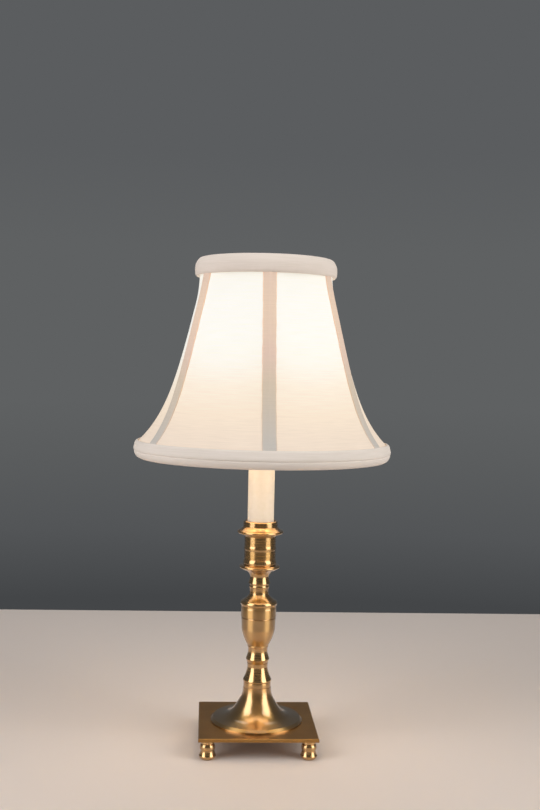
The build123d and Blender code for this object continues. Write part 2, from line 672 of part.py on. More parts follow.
def clip_loop(facing):
    """Wire loop from the rivet's flange down one side of the bulb to its widest and back.

    Going up each side its angle grows as a sine and its height as one less a cosine.
    """
    root = RIVET_BASE - WELD_GAP
    left = []
    right = []
    for share in (0.25, 0.5, 0.75, 1.0):
        along = CLIP_REACH * (1 - cos(share * pi / 2))
        angle = CLIP_ANGLE * sin(share * pi / 2)
        left.append(clip_point(along, facing - angle))
        right.append(clip_point(along, facing + angle))
    left.append(polar(CLIP_FOOT, facing - CLIP_ANGLE, root))
    right.append(polar(CLIP_FOOT, facing + CLIP_ANGLE, root))
    path = Spline(
        *reversed(left), clip_point(0, facing), *right, tangents=[(0, 0, -1), (0, 0, 1)]
    )
    return swept_wire(path, CLIP_WIRE)


def clip_rivet():
    """Rivet that joins the loops and carries the shade's hub on its shank."""
    edges = mouldings(
        RIVET_FLANGE,
        (RIVET_FLANGE_HEIGHT, RIVET_FLANGE),
        (0, RIVET_RADIUS),
        (HUB_HEIGHT + 2 * SEAT_GAP, RIVET_RADIUS),
        (0, RIVET_HEAD),
        (RIVET_HEAD_HEIGHT, RIVET_HEAD / 2, RIVET_HEAD * 0.9),
    )
    return turned(edges, 0, RIVET_BASE)


# ---- shade frame -----------------------------------------------------------------
def bell(down):
    """Share of the way out that the bell's side has reached at a share of the way down.

    A straight slope and a power that bends it out late, eased into the bottom ring's radius.
    """
    reach = BELL_SLOPE * down + BELL_FLARE * (down / BELL_LIP) ** BELL_SHARPNESS
    over = reach - (1 - BELL_SOFTNESS)
    if over <= 0:
        return reach
    return 1 - max(0.0, 2 * BELL_SOFTNESS - over) ** 2 / (4 * BELL_SOFTNESS)


def rim(down):
    """Outer radius of the fabric over a rib."""
    return TOP_RIM + (BOTTOM_RIM - TOP_RIM) * bell(down)


def pull(down):
    """How flat a panel lies between its ribs: 0 follows the ring, 1 is straight."""
    growth = sin(min(1.0, down / PULL_START) * pi / 2)
    fade = 1 - min(1.0, down / BELL_LIP) ** PULL_FADE
    return PULL * growth * fade


def middle(down):
    """Outer radius of the fabric halfway between two ribs."""
    return rim(down) * (1 - pull(down) * (1 - cos(HALF_PANEL)))


def level(down):
    """Height at a share of the way down from ring to ring."""
    return TOP_RING_LEVEL - RING_TO_RING * down


def wire_inset(down):
    """How far in from the fabric's outside a wire's centre lies, square to the bell's side."""
    step = 0.001
    spread = (rim(down + step) - rim(max(0.0, down - step))) / (2 * step * RING_TO_RING)
    return FABRIC + (FRAME_GAP + WIRE) * sqrt(1 + spread**2)


def stations(first, last):
    """Shares of the way down at which the bell is drawn, closer where it turns."""
    bends = [0.05, 0.11, 0.17, 0.24, 0.36, 0.48, 0.6, 0.7, 0.78, 0.84, 0.88, 0.91, 0.93, 0.95, 0.97]
    return [first, *[share for share in bends if first < share < last], last]


def shade_rib(angle):
    """Wire from ring to ring along the bell's side."""
    clear = (WIRE + WELD_GAP) / RING_TO_RING
    shares = stations(clear, 1 - clear)
    points = [(rim(share) - wire_inset(share), 0, level(share)) for share in shares]
    return Rot(0, 0, angle) * swept_wire(Spline(*points), WIRE)


def top_ring():
    """Radius of the top ring's centre line."""
    return TOP_RIM - wire_inset(0)


def bottom_ring():
    """Radius of the bottom ring's centre line."""
    return BOTTOM_RIM - wire_inset(1)


def shade_arm(angle):
    """Spider arm from the hub out and up to the top ring, level at both ends."""
    start = HUB_RADIUS + WELD_GAP
    end = top_ring() - WIRE - WELD_GAP
    path = FilletPolyline(
        (start, 0, ARM_LEVEL),
        (start + SPIDER_STRAIGHT, 0, ARM_LEVEL),
        (end - SPIDER_STRAIGHT, 0, TOP_RING_LEVEL),
        (end, 0, TOP_RING_LEVEL),
        radius=SPIDER_BEND,
    )
    return Rot(0, 0, angle) * swept_wire(path, WIRE)


def shade_ring(radius, height):
    """Round ring of the shade's frame."""
    return Pos(0, 0, height) * Torus(radius, WIRE)


# ---- shade fabric ----------------------------------------------------------------
def panel_arc(down):
    """Arc of a panel across its width: how far out its centre lies, its radius and half angle."""
    outer = rim(down)
    flat = outer * cos(HALF_PANEL)
    centre = (outer**2 - middle(down) ** 2) / (2 * (flat - middle(down)))
    half_angle = atan2(outer * sin(HALF_PANEL), flat - centre)
    return centre, middle(down) - centre, half_angle


def on_arc(centre, radius, angle, height):
    """Point on a panel's arc, in the panel's own direction."""
    return Vector(centre + radius * cos(angle), radius * sin(angle), height)


def panel_section(down):
    """Level section of a panel: two arcs a fabric's thickness apart."""
    centre, radius, half = panel_arc(down)
    half -= SEAM / radius
    height = level(down)
    outer = [on_arc(centre, radius, angle, height) for angle in (-half, 0, half)]
    inner = [on_arc(centre, radius - FABRIC, angle, height) for angle in (half, 0, -half)]
    return make_face([
        ThreePointArc(*outer),
        Line(outer[2], inner[0]),
        ThreePointArc(*inner),
        Line(inner[2], outer[0]),
    ])


def shade_panel(angle):
    """Fabric panel stretched between two ribs, from ring to ring."""
    return Rot(0, 0, angle) * loft([panel_section(share) for share in stations(0, 1)])


def tape_section(down):
    """Level section of a seam tape: a shallow V over the rib, its wings on the two panels."""
    centre, radius, half = panel_arc(down)
    height = level(down)
    wing = half - TAPE_HALF_WIDTH / radius
    ridge = rim(down) + FABRIC_GAP
    face_up = on_arc(centre, radius + FABRIC_GAP + FABRIC, wing, height)
    face_down = on_arc(centre, radius + FABRIC_GAP, wing, height)
    turn = degrees(HALF_PANEL)
    outer = face_up.rotate(Axis.Z, -turn)
    inner = face_down.rotate(Axis.Z, -turn)
    return make_face(Polyline(
        (outer.X, outer.Y, height),
        (ridge + FABRIC, 0, height),
        (outer.X, -outer.Y, height),
        (inner.X, -inner.Y, height),
        (ridge, 0, height),
        (inner.X, inner.Y, height),
        close=True,
    ))


def shade_tape(angle):
    """Seam tape folded over a rib, from ring to ring."""
    return Rot(0, 0, angle) * loft([tape_section(share) for share in stations(0, 1)])


def lining_radius(down):
    """Outer radius of the lining: clear of the ribs and of the middle of a panel."""
    inside_ribs = rim(down) - wire_inset(down) - WIRE - LINING_GAP
    inside_panels = middle(down) - FABRIC - LINING_SAG
    return min(inside_ribs, inside_panels)


def shade_lining():
    """Thin lining inside the frame, from under the spider's arms to the bottom ring."""
    top = (WIRE + LINING_GAP) / RING_TO_RING
    shares = stations(top, 1)
    outside = [(lining_radius(share), level(share)) for share in shares]
    inside = [(radius - LINING, height) for radius, height in outside]
    return spun([
        Spline(*outside),
        Line(outside[-1], inside[-1]),
        Spline(*inside),
        Line(inside[0], outside[0]),
    ])


def shade_top_trim():
    """Padded binding folded over the top ring and down the fabric."""
    share = TOP_TRIM_REACH / RING_TO_RING
    edge = rim(share) + COVER
    low = level(share)
    ring = TOP_RING_LEVEL
    crown = ring + TOP_TRIM_CROWN
    centre = top_ring()
    side = centre + TOP_TRIM_SIDE
    fold = ring + WIRE + TRIM_GAP
    back = centre - WIRE - TRIM_EDGE
    cover = TOP_RIM + COVER
    return spun([
        Polyline((cover, ring), (edge, low), (edge + TRIM_EDGE, low), (side, ring)),
        Bezier((side, ring), (side, crown), (centre + TRIM_EDGE, crown)),
        Bezier((centre + TRIM_EDGE, crown), (back, crown), (back, fold + TRIM_EDGE)),
        Polyline((back, fold + TRIM_EDGE), (back, fold), (centre, fold)),
        Bezier((centre, fold), (cover, fold), (cover, ring)),
    ])


def shade_bottom_trim():
    """Padded binding folded under the bottom ring, fuller outside than inside."""
    ring = BOTTOM_RING_LEVEL
    high = ring + BOTTOM_TRIM_REACH
    cover = BOTTOM_RIM + COVER
    centre = bottom_ring()
    side = centre + BOTTOM_TRIM_SIDE
    bottom = ring - BOTTOM_TRIM_CROWN
    face = lining_radius(1) - LINING - TRIM_GAP
    inner = face - TRIM_EDGE
    top = ring + BOTTOM_TRIM_INSIDE
    fold = ring - WIRE - TRIM_GAP
    return spun([
        Polyline((cover, ring), (cover, high), (cover + TRIM_EDGE, high)),
        Bezier((cover + TRIM_EDGE, high), (side, high), (side, ring + BOTTOM_TRIM_REACH / 2)),
        Line((side, ring + BOTTOM_TRIM_REACH / 2), (side, ring)),
        Bezier((side, ring), (side, bottom), (centre, bottom)),
        Bezier((centre, bottom), (inner, bottom), (inner, ring)),
        Polyline((inner, ring), (inner, top), (face, top), (face, ring)),
        Bezier((face, ring), (face, fold), (centre, fold)),
        Bezier((centre, fold), (cover, fold), (cover, ring)),
    ])


# ---- all the pieces --------------------------------------------------------------
def build_lamp():
    """Every piece of the lamp's base, stem and holder by name."""
    pieces = {
        "base_plate": base_plate(),
        "foot_studs": foot_studs(),
        "flared_foot": flared_foot(),
        "stem_knop": stem_knop(),
        "stem_urn": stem_urn(),
        "stem_shoulder": stem_shoulder(),
        "stem_neck": stem_neck(),
        "candle_cup": candle_cup(),
        "threaded_pipe": tube(ROD_RADIUS, ROD_BORE, ROD_TOP - ROD_BASE, ROD_BASE),
        "base_washer": tube(WASHER_RADIUS, STEM_BORE, WASHER_THICKNESS, WASHER_BASE),
        "base_nut": hex_nut(NUT_ACROSS_FLATS, NUT_HEIGHT, NUT_BASE),
        "cup_nut": hex_nut(NUT_ACROSS_FLATS, CHECK_NUT_HEIGHT, CHECK_NUT_BASE),
        "cord_bushing": cord_bushing(),
        "socket_bracket": socket_bracket(),
        "socket_body": socket_body(),
        "socket_screw_shell": tube(
            SHELL_RADIUS, SHELL_BORE, HOLDER_WELL - SHELL_SHORT, WELL_FLOOR
        ),
        "socket_contact": socket_contact(),
        "socket_leads": socket_leads(),
        "candle_sleeve": tube(SLEEVE_RADIUS, SLEEVE_RADIUS - SLEEVE_WALL, SLEEVE_LENGTH, SLEEVE_BASE),
    }
    for number, (x, y) in enumerate(foot_places(), start=1):
        pieces[f"base_foot_{number}"] = ball_foot(x, y)
    return pieces


def build_bulb_and_clip():
    """The bulb and the clip that grips it."""
    return {
        "bulb_glass": bulb_glass(),
        "bulb_cap": bulb_cap(),
        "bulb_insulator": bulb_insulator(),
        "bulb_contact": bulb_contact(),
        "bulb_mount": bulb_mount(),
        "bulb_filament": bulb_filament(),
        "clip_loop_1": clip_loop(0),
        "clip_loop_2": clip_loop(180),
        "clip_rivet": clip_rivet(),
    }


def build_shade():
    """The shade: hub, arms, rings, ribs, fabric, lining and trims."""
    pieces = {
        "shade_hub": tube(HUB_RADIUS, RIVET_RADIUS + RIVET_RUNNING, HUB_HEIGHT, HUB_BASE),
        "shade_top_ring": shade_ring(top_ring(), TOP_RING_LEVEL),
        "shade_bottom_ring": shade_ring(bottom_ring(), BOTTOM_RING_LEVEL),
        "shade_top_trim": shade_top_trim(),
        "shade_bottom_trim": shade_bottom_trim(),
        "shade_lining": shade_lining(),
    }
    for number in range(SPIDER_ARMS):
        pieces[f"shade_arm_{number + 1}"] = shade_arm(FRONT + PANEL_ANGLE / 2 + 360 / SPIDER_ARMS * number)
    for number in range(PANELS):
        angle = FRONT + PANEL_ANGLE * number
        pieces[f"shade_rib_{number + 1}"] = shade_rib(angle)
        pieces[f"shade_tape_{number + 1}"] = shade_tape(angle)
        pieces[f"shade_panel_{number + 1}"] = shade_panel(angle + PANEL_ANGLE / 2)
    return pieces


os.makedirs("parts", exist_ok=True)
for name, shape in {**build_lamp(), **build_bulb_and_clip(), **build_shade()}.items():
    shape.label = name
    export_step(shape, f"parts/{name}.step")
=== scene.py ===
"""Candlestick table lamp: dressed model of a brass lamp with a lit, panelled fabric shade.

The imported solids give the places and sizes. Brass, card, glass and wire pieces keep their solids
and get a finish; the fabric of the shade is worked out here as surfaces over its wire frame.
"""
import bpy
import numpy as np
from mathutils import Matrix, Vector


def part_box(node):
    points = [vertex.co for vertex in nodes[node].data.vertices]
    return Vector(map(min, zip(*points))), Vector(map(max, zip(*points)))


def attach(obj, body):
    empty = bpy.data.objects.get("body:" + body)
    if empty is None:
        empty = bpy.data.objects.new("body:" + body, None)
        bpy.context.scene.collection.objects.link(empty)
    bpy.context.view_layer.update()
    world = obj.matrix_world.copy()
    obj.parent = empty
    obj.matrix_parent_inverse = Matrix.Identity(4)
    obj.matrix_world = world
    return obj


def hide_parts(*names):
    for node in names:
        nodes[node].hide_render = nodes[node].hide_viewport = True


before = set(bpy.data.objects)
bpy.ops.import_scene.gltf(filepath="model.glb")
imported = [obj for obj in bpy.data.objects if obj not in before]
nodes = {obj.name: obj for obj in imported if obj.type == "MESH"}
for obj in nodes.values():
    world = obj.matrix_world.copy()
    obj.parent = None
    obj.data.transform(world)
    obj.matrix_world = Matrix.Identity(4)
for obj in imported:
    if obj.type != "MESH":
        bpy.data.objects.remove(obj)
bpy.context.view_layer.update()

# ---- sizes in metres: the bell's are those of the solids ----------------------------
PANELS = 6
BETWEEN_RIBS = 360 / PANELS                    # degrees
HALF_PANEL = np.radians(180 / PANELS)
FRONT = -90.0                                  # direction of the front rib, in degrees
RING_TO_RING = 0.1768
TOP_RIM, BOTTOM_RIM = 0.0619, 0.1170           # fabric's outside at the two rings
TOP_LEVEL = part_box("shade_panel_1")[1].z       # the panels' upper edge, at the top ring
BELL_SLOPE, BELL_FLARE, BELL_LIP = 0.82, 0.225, 0.94
BELL_SHARPNESS, BELL_SOFTNESS = 7.5, 0.04
PULL, PULL_START, PULL_FADE = 0.6, 0.2, 3.5
FABRIC, TAPE, LINING = 0.0005, 0.0004, 0.0004  # thickness of each cloth
SEAM = 0.0002                                  # half of the slit between two panels
PUCKER, PUCKER_SPACING = 0.0001, 0.0045        # draw of a panel along its seams
HOLLOW = 0.0003                                # how far a panel sags in at its middle
TAPE_HALF_WIDTH = 0.0064                       # 0.4 mm more a side than the solid has
COVER = 0.0001                                 # tapes and the trims' hems lie on the panels
GATHER = 0.0004                                # depth of the trims' gathers
GLOW = Vector((0.0, 0.0, 0.392))               # middle of the lit bulb
LAMP_MIDDLE = Vector((0.0, 0.0, 0.28))         # where the soft boxes face


# ---- camera: level with the shade, a little left of the lamp ---------------------------
FOCAL_PIXELS, IMAGE_HEIGHT, SENSOR_HEIGHT = 1086.27, 810.0, 36.0


def photo_camera():
    """Camera from its place, yaw, dip and roll; the lens is for the image's long side."""
    place = Vector((-0.05499, -1.02583, 0.35902))
    yaw, dip, roll = 0.05981, 0.03613, -0.02248
    ahead = Vector((np.sin(yaw) * np.cos(dip), np.cos(yaw) * np.cos(dip), -np.sin(dip)))
    right = Vector((np.cos(yaw), -np.sin(yaw), 0.0))
    down = ahead.cross(right)
    across = np.cos(roll) * right + np.sin(roll) * down
    below = np.cos(roll) * down - np.sin(roll) * right
    data = bpy.data.cameras.new("photo_camera")
    data.sensor_fit = "VERTICAL"
    data.sensor_height = SENSOR_HEIGHT
    data.lens = FOCAL_PIXELS * SENSOR_HEIGHT / IMAGE_HEIGHT
    data.clip_start = 0.01
    camera = bpy.data.objects.new("photo_camera", data)
    turn = Matrix((across, -below, -ahead)).transposed()
    camera.matrix_world = Matrix.Translation(place) @ turn.to_4x4()
    bpy.context.scene.collection.objects.link(camera)
    bpy.context.scene.camera = camera


photo_camera()


# ---- colour and node helpers ---------------------------------------------------------
def linear(hex_colour):
    """sRGB hex to a linear colour with full opacity."""
    values = [int(hex_colour[i:i + 2], 16) / 255 for i in (1, 3, 5)]
    return [v / 12.92 if v <= 0.04045 else ((v + 0.055) / 1.055) ** 2.4 for v in values] + [1.0]


def new_material(name):
    """Empty node material and its output node."""
    material = bpy.data.materials.new(name)
    material.use_nodes = True
    material.node_tree.nodes.clear()
    output = material.node_tree.nodes.new("ShaderNodeOutputMaterial")
    return material, output


def add(owner, kind, settings=None, inputs=None, stops=()):
    """Adds a node: its properties, values or sockets for its inputs, and a ramp's (place, hex)."""
    tree = owner.node_tree
    node = tree.nodes.new(kind)
    for key, value in (settings or {}).items():
        setattr(node, key, value)
    for key, value in (inputs or {}).items():
        if isinstance(value, bpy.types.NodeSocket):
            tree.links.new(value, node.inputs[key])
        else:
            node.inputs[key].default_value = value
    for count, (position, colour) in enumerate(stops):
        band = node.color_ramp.elements
        stop = band[count] if count < len(band) else band.new(position)
        stop.position = position
        stop.color = linear(colour)
    return node


def finish_with(material, output, shader):
    """Joins a shader to the material's output and returns the material."""
    material.node_tree.links.new(shader.outputs[0], output.inputs["Surface"])
    return material


def give(material, *names):
    """Puts a material on CAD nodes."""
    for name in names:
        slots = nodes[name].data.materials
        slots.clear()
        slots.append(material)


# ---- metals ---------------------------------------------------------------------------
def spun_brass(name, low_rough, high_rough):
    """Antique brass, turned, brushed on the lathe and lacquered.

    The brushing runs round the stem, so highlights stand upright over all its mouldings, and
    clear lacquer adds a sharper, paler gloss. Brushed rings are 0.25 mm apart on the lamp and
    drawn near 0.9 mm, with a roughness between the two given; the tone drifts softly over about
    20 mm, as the antiquing was wiped.
    """
    material, output = new_material(name)
    place = add(material, "ShaderNodeTexCoord").outputs["Object"]
    rings = add(material, "ShaderNodeMapping", None, {"Vector": place, "Scale": (30, 30, 1800)})
    fine = add(material, "ShaderNodeTexNoise", None,
               {"Vector": rings.outputs[0], "Scale": 1.0, "Detail": 3.0})
    patch = add(material, "ShaderNodeTexNoise", None,
                {"Vector": place, "Scale": 55.0, "Detail": 3.0})
    tone = add(material, "ShaderNodeValToRGB", None, {"Fac": patch.outputs["Fac"]},
               [(0.3, "#B88E50"), (0.7, "#C59A5C")])
    rough = add(material, "ShaderNodeMapRange", None,
                {"Value": fine.outputs["Fac"], "To Min": low_rough, "To Max": high_rough})
    bump = add(material, "ShaderNodeBump", None,
               {"Height": fine.outputs["Fac"], "Strength": 0.10, "Distance": 0.0002})
    round_stem = add(material, "ShaderNodeTangent", {"direction_type": "RADIAL", "axis": "Z"})
    shader = add(material, "ShaderNodeBsdfPrincipled", None, {
        "Base Color": tone.outputs[0], "Metallic": 1.0, "Roughness": rough.outputs[0],
        "Anisotropic": 0.85, "Anisotropic Rotation": 0.25, "Tangent": round_stem.outputs[0],
        "Normal": bump.outputs[0], "Coat Weight": 1.0, "Coat Roughness": 0.14, "Coat IOR": 1.75})
    return finish_with(material, output, shader)


def sheet_brass():
    """Antique brass plate, linished in straight lines from side to side, then lacquered.

    Fine straight scratches about 0.3 mm apart, drawn near 0.8 mm, smear what it reflects; the
    tone drifts over about 25 mm.
    """
    material, output = new_material("antique_brass_sheet_linished")
    place = add(material, "ShaderNodeTexCoord").outputs["Object"]
    lines = add(material, "ShaderNodeMapping", None, {"Vector": place, "Scale": (25, 1500, 1500)})
    fine = add(material, "ShaderNodeTexNoise", None,
               {"Vector": lines.outputs[0], "Scale": 1.0, "Detail": 3.0})
    patch = add(material, "ShaderNodeTexNoise", None,
                {"Vector": place, "Scale": 40.0, "Detail": 3.0})
    tone = add(material, "ShaderNodeValToRGB", None, {"Fac": patch.outputs["Fac"]},
               [(0.3, "#A2763E"), (0.7, "#B0854A")])
    rough = add(material, "ShaderNodeMapRange", None,
                {"Value": fine.outputs["Fac"], "To Min": 0.32, "To Max": 0.48})
    bump = add(material, "ShaderNodeBump", None,
               {"Height": fine.outputs["Fac"], "Strength": 0.10, "Distance": 0.0002})
    shader = add(material, "ShaderNodeBsdfPrincipled", None, {
        "Base Color": tone.outputs[0], "Metallic": 1.0, "Roughness": rough.outputs[0],
        "Normal": bump.outputs[0], "Coat Weight": 0.3, "Coat Roughness": 0.2})
    return finish_with(material, output, shader)


def plain_metal(name, low, high, roughness, patches):
    """Hardware metal: two close tones in patches a few mm across, which its gloss follows.

    Patches are counted per metre: 300 is one in about 3 mm.
    """
    material, output = new_material(name)
    place = add(material, "ShaderNodeTexCoord").outputs["Object"]
    patch = add(material, "ShaderNodeTexNoise", None,
                {"Vector": place, "Scale": patches, "Detail": 4.0})
    tone = add(material, "ShaderNodeValToRGB", None, {"Fac": patch.outputs["Fac"]},
               [(0.3, low), (0.7, high)])
    rough = add(material, "ShaderNodeMapRange", None,
                {"Value": patch.outputs["Fac"],
                 "To Min": roughness - 0.06, "To Max": roughness + 0.08})
    shader = add(material, "ShaderNodeBsdfPrincipled", None,
                 {"Base Color": tone.outputs[0], "Metallic": 1.0, "Roughness": rough.outputs[0]})
    return finish_with(material, output, shader)


def moulded(name, low, high, roughness, patches):
    """Moulded plastic or glass: a slightly uneven skin of two close tones.

    Patches are counted per metre: 500 is one in about 2 mm.
    """
    material, output = new_material(name)
    place = add(material, "ShaderNodeTexCoord").outputs["Object"]
    patch = add(material, "ShaderNodeTexNoise", None,
                {"Vector": place, "Scale": patches, "Detail": 4.0})
    tone = add(material, "ShaderNodeValToRGB", None, {"Fac": patch.outputs["Fac"]},
               [(0.35, low), (0.65, high)])
    bump = add(material, "ShaderNodeBump", None,
               {"Height": patch.outputs["Fac"], "Strength": 0.08, "Distance": 0.0002})
    shader = add(material, "ShaderNodeBsdfPrincipled", None, {
        "Base Color": tone.outputs[0], "Roughness": roughness, "Normal": bump.outputs[0]})
    return finish_with(material, output, shader)


# ---- glow of the lit bulb ----------------------------------------------------------------
def distance_from_bulb(material, near, far):
    """Factor from 0 at the near distance from the bulb's middle to 1 at the far one, in metres."""
    place = add(material, "ShaderNodeTexCoord").outputs["Object"]
    away = add(material, "ShaderNodeVectorMath", {"operation": "DISTANCE"}, {0: place, 1: GLOW})
    return add(material, "ShaderNodeMapRange", None, {
        "Value": away.outputs["Value"], "From Min": near, "From Max": far}).outputs[0]


def lit_cloth(name, cloth, glow_stops, edge_glow=None):
    """Ivory silk lit from behind, its weave carried by the piece's own UV map.

    Threads run down and across 0.35 mm apart, drawn near 0.7 mm; odd thicker threads show as
    faint slubs about 25 mm long. The bulb behind makes the cloth glow most beside it and warmer
    further off. A tape's two edges are one layer thick, not three, so they glow more than its
    middle: only a tape has an edge glow.
    """
    material, output = new_material(name)
    woven = add(material, "ShaderNodeUVMap", {"uv_map": "cloth"}).outputs["UV"]
    warp = add(material, "ShaderNodeTexWave", {"bands_direction": "X"},
               {"Vector": woven, "Scale": 450.0, "Distortion": 1.5, "Detail": 1.0})
    weft = add(material, "ShaderNodeTexWave", {"bands_direction": "Y"},
               {"Vector": woven, "Scale": 450.0, "Distortion": 1.5, "Detail": 1.0})
    threads = add(material, "ShaderNodeMath", {"operation": "ADD"},
                  {0: warp.outputs["Fac"], 1: weft.outputs["Fac"]})
    slub_map = add(material, "ShaderNodeMapping", None, {"Vector": woven, "Scale": (40, 900, 1)})
    slubs = add(material, "ShaderNodeTexNoise", None,
                {"Vector": slub_map.outputs[0], "Scale": 1.0, "Detail": 3.0})
    tone = add(material, "ShaderNodeValToRGB", None, {"Fac": slubs.outputs["Fac"]},
               [(0.3, cloth[0]), (0.7, cloth[1])])
    bump = add(material, "ShaderNodeBump", None,
               {"Height": threads.outputs[0], "Strength": 0.10, "Distance": 0.0002})
    glow = add(material, "ShaderNodeValToRGB", None,
               {"Fac": distance_from_bulb(material, 0.065, 0.16)}, glow_stops)
    if edge_glow:
        aside = add(material, "ShaderNodeSeparateXYZ", None, {0: woven})
        width = add(material, "ShaderNodeMath", {"operation": "ABSOLUTE"}, {0: aside.outputs[0]})
        edge = add(material, "ShaderNodeMapRange", {"interpolation_type": "SMOOTHSTEP"},
                   {"Value": width.outputs[0], "From Min": 0.78 * TAPE_HALF_WIDTH,
                    "From Max": TAPE_HALF_WIDTH})
        extra = add(material, "ShaderNodeVectorMath", {"operation": "SCALE"},
                    {0: linear(edge_glow)[:3], "Scale": edge.outputs[0]})
        glow = add(material, "ShaderNodeVectorMath", {"operation": "ADD"},
                   {0: glow.outputs[0], 1: extra.outputs[0]})
    uneven = add(material, "ShaderNodeMapRange", None,
                 {"Value": slubs.outputs["Fac"], "From Min": 0.3, "From Max": 0.7,
                  "To Min": 0.96, "To Max": 1.04})
    light = add(material, "ShaderNodeVectorMath", {"operation": "SCALE"},
                {0: glow.outputs[0], "Scale": uneven.outputs[0]})
    shader = add(material, "ShaderNodeBsdfPrincipled", None, {
        "Base Color": tone.outputs[0], "Roughness": 0.8, "Normal": bump.outputs[0],
        "Sheen Weight": 0.1, "Sheen Roughness": 0.5,
        "Emission Color": light.outputs[0], "Emission Strength": 1.0})
    return finish_with(material, output, shader)


def ivory_sleeve():
    """Ivory coated card tube, faintly mottled over 4 mm, warm where the bulb lights its top."""
    material, output = new_material("ivory_card_tube_lit")
    place = add(material, "ShaderNodeTexCoord").outputs["Object"]
    patch = add(material, "ShaderNodeTexNoise", None,
                {"Vector": place, "Scale": 260.0, "Detail": 4.0})
    tone = add(material, "ShaderNodeValToRGB", None, {"Fac": patch.outputs["Fac"]},
               [(0.35, "#E4DCCE"), (0.65, "#E8E0D4")])
    bump = add(material, "ShaderNodeBump", None,
               {"Height": patch.outputs["Fac"], "Strength": 0.06, "Distance": 0.0002})
    glow = add(material, "ShaderNodeValToRGB", None,
               {"Fac": distance_from_bulb(material, 0.05, 0.20)},
               [(0.0, "#5A4630"), (0.6, "#38302C"), (1.0, "#1A1612")])
    shader = add(material, "ShaderNodeBsdfPrincipled", None, {
        "Base Color": tone.outputs[0], "Roughness": 0.42, "Normal": bump.outputs[0],
        "Emission Color": glow.outputs[0], "Emission Strength": 1.0})
    return finish_with(material, output, shader)


def clear_bulb_glass():
    """Thin clear blown glass, flooded with the filament's light: its glow stands for that."""
    material, output = new_material("clear_blown_glass")
    shader = add(material, "ShaderNodeBsdfPrincipled", None, {
        "Base Color": linear("#FFF6E6"), "Roughness": 0.05, "Transmission Weight": 1.0,
        "IOR": 1.45, "Emission Color": linear("#FFE2B4"), "Emission Strength": 4.0})
    return finish_with(material, output, shader)


def hot_filament():
    """Tungsten wire at white heat."""
    material, output = new_material("hot_tungsten_wire")
    shader = add(material, "ShaderNodeBsdfPrincipled", None, {
        "Base Color": linear("#8A8680"), "Metallic": 1.0, "Roughness": 0.4,
        "Emission Color": linear("#FFE2AE"), "Emission Strength": 12.0})
    return finish_with(material, output, shader)


# ---- meshes from arrays --------------------------------------------------------------------
def grid_mesh(name, points, uv, closed_across=False, closed_down=False):
    """Mesh from a grid of points (down, across, xyz) with a UV in metres, wound outwards."""
    rows, columns = points.shape[:2]
    index = np.arange(rows * columns).reshape(rows, columns)
    below = np.roll(index, -1, 0) if closed_down else index[1:]
    here = index if closed_down else index[:-1]
    if closed_across:
        left, right = here, np.roll(here, -1, 1)
        low_left, low_right = below, np.roll(below, -1, 1)
    else:
        left, right = here[:, :-1], here[:, 1:]
        low_left, low_right = below[:, :-1], below[:, 1:]
    faces = np.stack([left, low_left, low_right, right], -1).reshape(-1, 4)
    mesh = bpy.data.meshes.new(name)
    mesh.from_pydata(points.reshape(-1, 3).tolist(), [], faces.tolist())
    layer = mesh.uv_layers.new(name="cloth")
    layer.data.foreach_set("uv", uv.reshape(-1, 2)[faces.reshape(-1)].ravel())
    mesh.polygons.foreach_set("use_smooth", np.ones(len(faces), bool))
    mesh.update()
    piece = bpy.data.objects.new(name, mesh)
    bpy.context.scene.collection.objects.link(piece)
    return piece


def thicken(piece, thickness):
    """Gives a cloth its thickness inwards."""
    solid = piece.modifiers.new("thickness", "SOLIDIFY")
    solid.thickness = thickness
    solid.offset = -1.0


def dress(piece, material, replaced):
    """Finish, record slot and the solid that a piece of the shade stands for."""
    piece.data.materials.append(material)
    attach(piece, "shade")
    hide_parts(replaced)


# ---- bell of the shade ---------------------------------------------------------------------
def rim(down):
    """Fabric's outer radius over a rib: a slope and a late power, eased into the bottom ring."""
    reach = BELL_SLOPE * down + BELL_FLARE * (down / BELL_LIP) ** BELL_SHARPNESS
    over = reach - (1 - BELL_SOFTNESS)
    eased = 1 - np.maximum(0, 2 * BELL_SOFTNESS - over) ** 2 / (4 * BELL_SOFTNESS)
    return TOP_RIM + (BOTTOM_RIM - TOP_RIM) * np.where(over <= 0, reach, eased)


def middle(down):
    """Fabric's outer radius halfway between two ribs, where it is pulled flat.

    The pull grows by a quarter sine below the top ring and fades by a late power at the lip.
    """
    growth = np.sin(np.minimum(1, down / PULL_START) * np.pi / 2)
    fade = 1 - np.minimum(1, down / BELL_LIP) ** PULL_FADE
    return rim(down) * (1 - PULL * growth * fade * (1 - np.cos(HALF_PANEL)))


def panel_arc(down):
    """Centre, radius and half angle of the arc that a panel follows across its width."""
    outer, inner = rim(down), middle(down)
    flat = outer * np.cos(HALF_PANEL)
    centre = (outer ** 2 - inner ** 2) / (2 * (flat - inner))
    return centre, inner - centre, np.arctan2(outer * np.sin(HALF_PANEL), flat - centre)


def turned(points, angle):
    """Points turned about Z by an angle in degrees."""
    c, s = np.cos(np.radians(angle)), np.sin(np.radians(angle))
    x, y, z = points[..., 0], points[..., 1], points[..., 2]
    return np.stack([c * x - s * y, s * x + c * y, z], -1)


